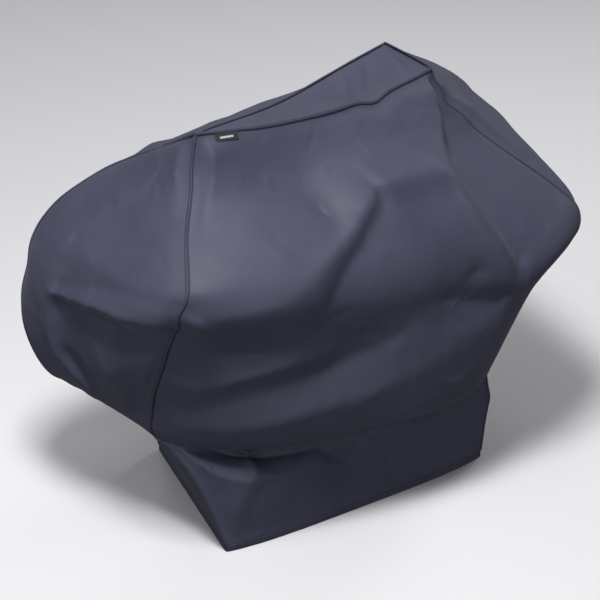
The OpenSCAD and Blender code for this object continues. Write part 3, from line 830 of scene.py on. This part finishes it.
def stitch_row(line, up, lift=0.3, seed=0):
    """A row of stitches along a line.  Each is a short six-sided pod that is thin at its ends,
    where the thread goes down into the cloth."""
    lengths = lengths_along(line)
    _, out, across = frames(line, up)
    step = STITCH_L + STITCH_GAP
    starts = np.arange(step / 2, lengths[-1] - step / 2, step)
    rng = np.random.default_rng(SEED + seed)
    aside = rng.uniform(-WANDER, WANDER, len(starts))
    share = np.array([-0.5, -0.3, 0.0, 0.3, 0.5])
    thick = np.array([0.25, 0.85, 1.0, 0.85, 0.25]) * STITCH_T / 2
    drop = np.array([-0.55, -0.05, 0.1, -0.05, -0.55])
    angles = np.arange(POD_SIDES) * math.pi / 3
    where = starts[:, None] + share[None] * STITCH_L
    out, across = read_rows(where, lengths, out), read_rows(where, lengths, across)
    middle = read_rows(where, lengths, line) + out * (lift + drop)[None, :, None]
    middle = middle + across * aside[:, None, None]
    ring = (np.cos(angles)[None, :, None] * across[:, :, None]
            + np.sin(angles)[None, :, None] * out[:, :, None])
    points = middle[:, :, None] + ring * thick[None, :, None, None]
    pod = grid_faces(POD_RINGS, POD_SIDES, closed=True)
    size = POD_RINGS * POD_SIDES
    caps = [list(range(POD_SIDES))[::-1], list(range(size - POD_SIDES, size))]
    faces = []
    for i in range(len(starts)):
        faces += (pod + size * i).tolist() + [[c + size * i for c in cap] for cap in caps]
    flat = points.reshape(-1, 3)
    return flat, faces, np.zeros((len(flat), 2))


# %% The seams between the side panels
LAP = np.array([(-5.2, -1.2), (-5.6, 0.4), (-4.6, 1.6), (-2.4, 2.3), (0.0, 2.9), (1.7, 3.3), (2.6, 2.5),
                (2.9, 1.0), (2.8, -1.2), (0, -1.6)])
SEAM_STEPS = 420
# How far the stitches lie beside a seam's line and stand over it
STITCH_ASIDE, STITCH_STAND = 2.6, 2.0


def uneven(count, seed, low=0.82, high=1.16):
    """Smooth, seeded change of size along a seam: random sizes at wide places, joined softly."""
    rng = np.random.default_rng(SEED + seed)
    knots = rng.uniform(low, high, max(count // 14, 4))
    x = np.linspace(0, len(knots) - 1, count)
    k = np.clip(np.floor(x).astype(int), 0, len(knots) - 2)
    u = x - k
    u = u * u * (3 - 2 * u)
    return knots[k] * (1 - u) + knots[k + 1] * u


def corner_line(corner):
    """The line where two panels meet, and the way out of the cover along it: the mean of the two
    panels' edge columns, and of their normals a few columns in."""
    first = panel_grids[SIDES[corner]]
    other = panel_grids[SIDES[(corner + 3) % 4]]
    s = np.linspace(0, 1, SEAM_STEPS) * (ROWS - 1)
    steps = np.arange(ROWS)
    line = (read_rows(s, steps, first[:, 0]) + read_rows(s, steps, other[:, -1])) / 2
    out = read_rows(s, steps, grid_normals(first)[:, 5]) + read_rows(s, steps, grid_normals(other)[:, -6])
    return line, out / np.linalg.norm(out, axis=1, keepdims=True)


def seam(name, line, out, node, seed, turn=1):
    """A lap along a line, and a row of stitches through it."""
    profile = LAP * [turn, 1]
    lap = mesh_of(name + "_lap", [carried(line, out, profile, uneven(len(line), seed))])
    # The lap is drawn in the darker copy of the cloth, which is painted shade along the seam
    dress(lap, folded_cloth_painted_shade, "root", [node])
    across = frames(line, out)[2]
    stitched = line - across * STITCH_ASIDE * turn + out * STITCH_STAND
    row = mesh_of(name + "_stitches", [stitch_row(stitched, out, seed=seed)])
    dress(row, thread, "root", [])
    return lap, row


corner_names = ["front_left", "front_right", "back_right", "back_left"]
corner_lines = [corner_line(c) for c in range(4)]
for c, corner_name in enumerate(corner_names):
    line, out = corner_lines[c]
    turn = 1 if c in (1, 2) else -1
    seam(corner_name + "_seam", line, out, corner_name + "_seam", 30 + c, turn)

# %% [markdown]
# The seams round the top are the same lap, and face up and out.


# %% The seams round the top panel
def top_line(side):
    """The line between the top panel and one side, and the way out along it."""
    t = np.linspace(0.004, 0.996, 200)
    line = face(side, np.zeros(t.shape), t)
    out = UP + 0.9 * OUTWARD[side]
    return line, np.broadcast_to(out / np.linalg.norm(out), line.shape)


for side, name in enumerate(SIDES):
    line, out = top_line(side)
    seam("top_" + name + "_seam", line, out, "top_" + name + "_seam", 40 + side,
                                      -1 if side != 1 else 1)

# %% [markdown]
# ## The hem
# The lower edge is turned up twice and sewn with one row of stitches.  It could be drawn on with
# a line, but the fold has a round lower edge and a step on the inside, so it is modelled as the
# folded strip that it is, wrapped round the panel's edge.

# %% The hem bands
HEM_TOP, HEM_OUT, HEM_IN, STITCH_HEIGHT = 21.0, 0.9, 2.6, 10.0


def hem_band(side):
    """A folded strip: a profile down the inside, round the bottom and up the outside, carried
    along the panel's lower edge."""
    lower = panel_grids[SIDES[side]][-1]
    line = lower * [1, 1, 0]
    ahead = np.gradient(line, axis=0)
    ahead /= np.linalg.norm(ahead, axis=1, keepdims=True)
    out = np.cross(ahead, UP)
    ripple = 0.5 * np.sin(np.arange(len(line)) * 0.55 + side) + 0.35 * np.sin(np.arange(len(line)) * 1.27)
    inside = [(-HEM_IN, HEM_TOP - 2), (-HEM_IN - 0.3, 12), (-HEM_IN - 0.2, 5), (-HEM_IN, 2.2)]
    bottom = [(-1.9, 0.4), (-0.8, 0.0), (0.2, 0.5)]
    outside = [(HEM_OUT, 2.2), (HEM_OUT + 0.2, 6), (HEM_OUT - 0.25, STITCH_HEIGHT), (HEM_OUT + 0.15, 14),
               (HEM_OUT - 0.1, HEM_TOP - 1.5)]
    outline = np.array(inside + bottom + outside + [(0.25, HEM_TOP), (-1.4, HEM_TOP)])
    swell = np.clip(outline[:, 1] / HEM_TOP, 0, 1) * (outline[:, 0] > -1)
    offset = outline[None, :, 0] + ripple[:, None] * 0.5 * swell[None]
    points = line[:, None] + out[:, None] * offset[..., None] + UP * outline[None, :, 1:]
    shape = points.shape[:2]
    uv = grid_map(lengths_along(line)[:, None], outline[None, :, 1], shape) * MM
    row_line = line + out * (HEM_OUT - 0.3) + UP * STITCH_HEIGHT
    return (points.reshape(-1, 3), tube_faces(*shape), uv), row_line, out


for side, name in enumerate(SIDES):
    part, row_line, out = hem_band(side)
    # The hem band is drawn in the darker copy of the cloth, which is painted shade round the hem
    band = dress(mesh_of(name + "_hem_band", [part]), folded_cloth_painted_shade, "root", [name + "_hem"])
    stitches = mesh_of(name + "_hem_stitches", [stitch_row(row_line, out, seed=60 + side)])
    row = dress(stitches, thread, "root", [])

# %% [markdown]
# ## Straps
# Inside the front panel, two lengths of webbing are sewn down to tie the cover to the cart's
# legs.  From outside only the box of thread shows.  Each free end hangs behind its webbing and
# carries a hook patch and a loop patch.  The free end turns on a joint, so it is its own piece,
# built in the plane of that joint: across is the joint's axis, and down is square to it.


# %% A place on the finished front panel
def on_front(s, t, lift):
    """A point over the front panel's final grid: its four nearest points mixed, plus the normal."""
    grid = panel_grids["front"]
    normal = grid_normals(grid)
    rows = np.interp(s, GRID_RINGS, np.arange(ROWS))
    columns = np.clip(t, 0.004, 0.996) * (COLUMNS - 1)
    i, j = np.floor(rows).astype(int).clip(0, ROWS - 2), np.floor(columns).astype(int).clip(0, COLUMNS - 2)
    u, v = (rows - i)[..., None], (columns - j)[..., None]

    def mixed(g):
        upper = g[i, j] * (1 - v) + g[i, j + 1] * v
        lower = g[i + 1, j] * (1 - v) + g[i + 1, j + 1] * v
        return upper * (1 - u) + lower * u

    n = mixed(normal)
    return mixed(grid) + n * lift, n


# %% Where each strap is sewn: its middle line from top to foot, as rings down and share across
STRAPS = {
    "left_strap": {"places": [(4.98, 0.046), (5.4, 0.05), (5.85, 0.05)], "width": 20.0},
    "middle_strap": {"places": [(5.4, 0.53), (6.0, 0.56), (6.6, 0.6), (6.88, 0.605)], "width": 20.0},
}
BOX_IN, BOX_LIFT = 3.6, 1.0
ROW_OVER, WEBBING_UNDER, WEBBING_T = 0.1, -3.2, 1.5


def strap_line(places, count=60):
    """Rings down and share across, evenly along the strap's middle line."""
    knots = np.array(places, float)
    u = np.linspace(0, len(knots) - 1, count)
    return read_rows(u, np.arange(len(knots)), knots)


def box_of_thread(name, strap):
    """Two rows of stitches down the strap's edges and one across its foot."""
    line = strap_line(strap["places"])
    run = np.linalg.norm(along(RINGS[:, 1], line[:, 0]) - along(RINGS[:, 0], line[:, 0]), axis=1)
    half = (strap["width"] / 2 - BOX_IN) / run
    parts = []
    for edge in (-1, 1):
        points, n = on_front(line[:, 0], line[:, 1] + edge * half, ROW_OVER)
        parts.append(stitch_row(points, n, lift=BOX_LIFT, seed=70 + edge))
    foot = np.linspace(-1, 1, 9)
    points, n = on_front(np.full(9, line[-1, 0]), line[-1, 1] + foot * half[-1], ROW_OVER)
    parts.append(stitch_row(points, n, lift=BOX_LIFT, seed=75))
    # The box is drawn in the darker thread, which is painted shade for its puckers
    return dress(mesh_of(name + "_thread_box", parts), box_thread_painted_shade, "root", [name + "_stitching"])


def ribbon(line, out, width, thick):
    """A flat strip with soft edges: a rounded rectangle carried along a line."""
    h, w = thick / 2, width / 2
    profile = np.array([(-w + h, -h), (-w, -h * 0.4), (-w, h * 0.4), (-w + h, h), (0, h),
                        (w - h, h), (w, h * 0.4), (w, -h * 0.4), (w - h, -h), (0, -h)])
    return carried(line, out, profile)


for name, strap in STRAPS.items():
    box_of_thread(name, strap)
    line = strap_line(strap["places"])
    inner, n = on_front(line[:, 0], line[:, 1], WEBBING_UNDER)
    sewn = mesh_of(name + "_sewn_webbing", [ribbon(inner, n, strap["width"], WEBBING_T)])
    dress(sewn, webbing, "root", [name + "_webbing"])
print("straps", list(STRAPS))


# %% The free ends
def hung_frame(joint_name, node):
    """The middle of a joint's line, the way along it, the way down a hanging piece and the way
    through it.  Down is from the joint to the node's middle, made square to the axis."""
    joint = joints[joint_name]
    place = np.array(joint["pos_m"]) / MM
    across = np.array(joint["axis"], float)
    across /= np.linalg.norm(across)
    verts = np.array([v.co for v in frame["nodes"][node].data.vertices]) / MM
    down = verts.mean(0) - place
    down -= (down @ across) * across
    down /= np.linalg.norm(down)
    depths = (verts - place) @ down
    return place, across, down, np.cross(down, across), depths.min(), depths.max()


def hanging_strip(name, node, joint_name, body, width, thick, material, off=0.0):
    """A strip that hangs from a joint's line, over the stretch that its node covers."""
    place, across, down, through, top, foot = hung_frame(joint_name, node)
    line = place + down * np.linspace(top, foot, 40)[:, None] + through * off
    obj = mesh_of(name, [ribbon(line, np.broadcast_to(through, line.shape).copy(), width, thick)])
    return dress(obj, material, body, [node])


TAIL_W, TAIL_T, PATCH_W, PATCH_T = 20.0, 1.5, 16.0, 1.1
PATCH_ROW, PATCH_ROW_END = 6.4, 2
for name in STRAPS:
    joint_name = name + "_swing"
    hanging_strip(name + "_free_end", name + "_tail", joint_name, name, TAIL_W, TAIL_T, webbing)
    place, across, down, through, _, _ = hung_frame(joint_name, name + "_tail")
    patch_verts = np.array([v.co for v in frame["nodes"][name + "_hook_patch"].data.vertices]) / MM
    side_of = math.copysign(1, ((patch_verts - place) @ through).mean())
    for patch, material, slot in (("hook", hook_tape, "hook_tape"), ("loop", loop_tape, "loop_tape")):
        node = f"{name}_{patch}_patch"
        hanging_strip(f"{name}_{patch}_tape", node, joint_name, name, PATCH_W, PATCH_T, material,
                      off=side_of * (TAIL_T + PATCH_T) / 2)
        _, _, _, _, top, foot = hung_frame(joint_name, node)
        rows = []
        for edge in (-1, 1):
            depths = np.linspace(top + PATCH_ROW_END, foot - PATCH_ROW_END, 30)
            row = place + down * depths[:, None] + across * edge * PATCH_ROW
            row = row + through * side_of * (TAIL_T / 2 + PATCH_T)
            rows.append(stitch_row(row, np.broadcast_to(through * side_of, row.shape).copy(), seed=80 + edge))
        dress(mesh_of(f"{name}_{patch}_stitches", rows), thread, name, [])
print("free ends", len(STRAPS))

# %% [markdown]
# ## The label
# A small woven label is caught in the front top seam and can be lifted.  It is a folded strip
# with a plain woven bar and nothing written on it.


# %% The label and its stitches
LABEL_T = 0.0007
BAR_DOWN, BAR_HALF_HEIGHT, BAR_HALF_WIDTH = 0.55, 0.13, 0.3


def label_piece():
    """A thin strip that hangs from the label's joint, slightly bowed, with a bar woven across."""
    place, across, down, through, top, foot = hung_frame("label_lift", "label")
    verts = np.array([v.co for v in frame["nodes"]["label"].data.vertices]) / MM
    half = np.abs((verts - place) @ across).max()
    depth = ((verts - place) @ through).mean()
    rows, columns = 22, 60
    v = np.linspace(top, foot, rows)[:, None]
    u = np.linspace(-half, half, columns)[None]
    bow = 0.5 * np.cos(u / half * math.pi / 2) + 0.25 * np.sin(v / foot * math.pi)
    sign = math.copysign(1, depth)
    points = (place + down * v[..., None] + across * u[..., None]
              + through * (depth + sign * (bow - 0.4))[..., None])
    faces = grid_faces(rows, columns)
    obj = new_mesh("woven_label", points.reshape(-1, 3), faces, grid_map(u, v, (rows, columns)) * MM)
    normal = grid_normals(points).reshape(-1, 3).mean(0)
    if normal @ (through * sign) < 0:
        obj.data.flip_normals()
    wall = obj.modifiers.new("thickness", "SOLIDIFY")
    wall.thickness, wall.offset = LABEL_T, -1
    dress(obj, label_cloth, "label_flap", ["label"])
    obj.data.materials.append(label_bar)
    cell_down = (np.arange(rows - 1) + 0.5) / (rows - 1)
    cell_across = (np.arange(columns - 1) + 0.5) / (columns - 1)
    in_height = np.abs(cell_down - BAR_DOWN) < BAR_HALF_HEIGHT
    in_width = np.abs(cell_across - 0.5) < BAR_HALF_WIDTH
    bar = (in_height[:, None] & in_width[None]).ravel()
    obj.data.polygons.foreach_set("material_index", bar.astype(np.int32))
    line = place + down * (top + 3.5) + across * np.linspace(-half + 2.5, half - 2.5, 30)[:, None]
    line = line + through * (depth + sign * 0.6)
    out = np.broadcast_to(through * sign, line.shape).copy()
    row = mesh_of("label_stitches", [stitch_row(line, out, seed=90)])
    dress(row, thread, "label_flap", ["label_stitching"])
    return obj, row


label_pieces = label_piece()
print("label", [p.name for p in label_pieces])

# %% [markdown]
# ## The panels' cuts
# Each panel is a sheet that was cut flat before it was sewn and hung, so its flat size is given
# in metres.  A side panel is widest at the shelves, so its cut isn't a rectangle and its area is
# given too.

# %% Counting the sheets whose cuts are given in CUTS
print("sheets", len(CUTS))

# %% [markdown]
# ## Light, floor and camera
# Dark cloth shows its folds only by what it reflects.  So one strong soft light hangs over the
# front left, four weak ones stand at the left, the right, the back and low in front, and the sky
# is dim.  The floor is plain and pale, and throws no light back at the cloth.

# %% The studio
MIDDLE = (0.0, 0.0, 0.6)
LIGHT_COLOUR = (0.97, 0.97, 1.0)
# Place, size and power of each light
LIGHTS = {
    "overhead": ((-1.3, -1.1, 4.9), 1.1, 190),
    "left": ((-4.4, 0.2, 2.6), 1.4, 36),
    "right": ((3.8, 0.8, 3.4), 1.4, 36),
    "back": ((0.8, 4.4, 3.9), 1.6, 22),
    "low front": ((-1.2, -4.6, 0.9), 1.6, 38),
}


def area_light(name, place, size, power):
    """A square light at a place, facing the middle of the cover."""
    data = bpy.data.lights.new(name, "AREA")
    data.size, data.energy, data.color = size, power, LIGHT_COLOUR
    obj = bpy.data.objects.new(name, data)
    bpy.context.scene.collection.objects.link(obj)
    turn = np.array(MIDDLE) - np.array(place)
    obj.location = place
    obj.rotation_euler = Vector(turn).to_track_quat("-Z", "Y").to_euler()


for name, (place, size, power) in LIGHTS.items():
    area_light(name, place, size, power)

world = bpy.data.worlds.new("studio")
world.use_nodes = True
world.node_tree.nodes["Background"].inputs["Color"].default_value = (0.93, 0.95, 1.0, 1)
world.node_tree.nodes["Background"].inputs["Strength"].default_value = 0.12
bpy.context.scene.world = world
bpy.context.scene.view_settings.view_transform = "Standard"

FLOOR_HALF = 9.0
floor = new_mesh("floor", np.array([(-1, -1, 0), (1, -1, 0), (1, 1, 0), (-1, 1, 0)], float) * FLOOR_HALF / MM,
                 np.array([[0, 1, 2, 3]]))
floor.data.materials.append(new_material("pale_floor", (0.93, 0.93, 0.93), 0.9)[0])
floor.visible_diffuse = False
floor.visible_glossy = False

# %% The camera
CAMERA_TARGET = np.array([-0.124, -0.138, 0.634])
AZIMUTH, ELEVATION, DISTANCE, LENS = 33.96, 29.9, 4.970, 117.6


def camera():
    """A long lens, so many degrees to the front's left and so many above the level."""
    az, el = math.radians(AZIMUTH), math.radians(ELEVATION)
    back = np.array([-math.sin(az) * math.cos(el), -math.cos(az) * math.cos(el), math.sin(el)])
    data = bpy.data.cameras.new("camera")
    data.lens, data.sensor_width = LENS, 36
    obj = bpy.data.objects.new("camera", data)
    bpy.context.scene.collection.objects.link(obj)
    obj.location = CAMERA_TARGET + back * DISTANCE
    obj.rotation_euler = (math.pi / 2 - el, 0, -az)
    bpy.context.scene.camera = obj


camera()
print("camera at", [round(x, 3) for x in bpy.context.scene.camera.location])
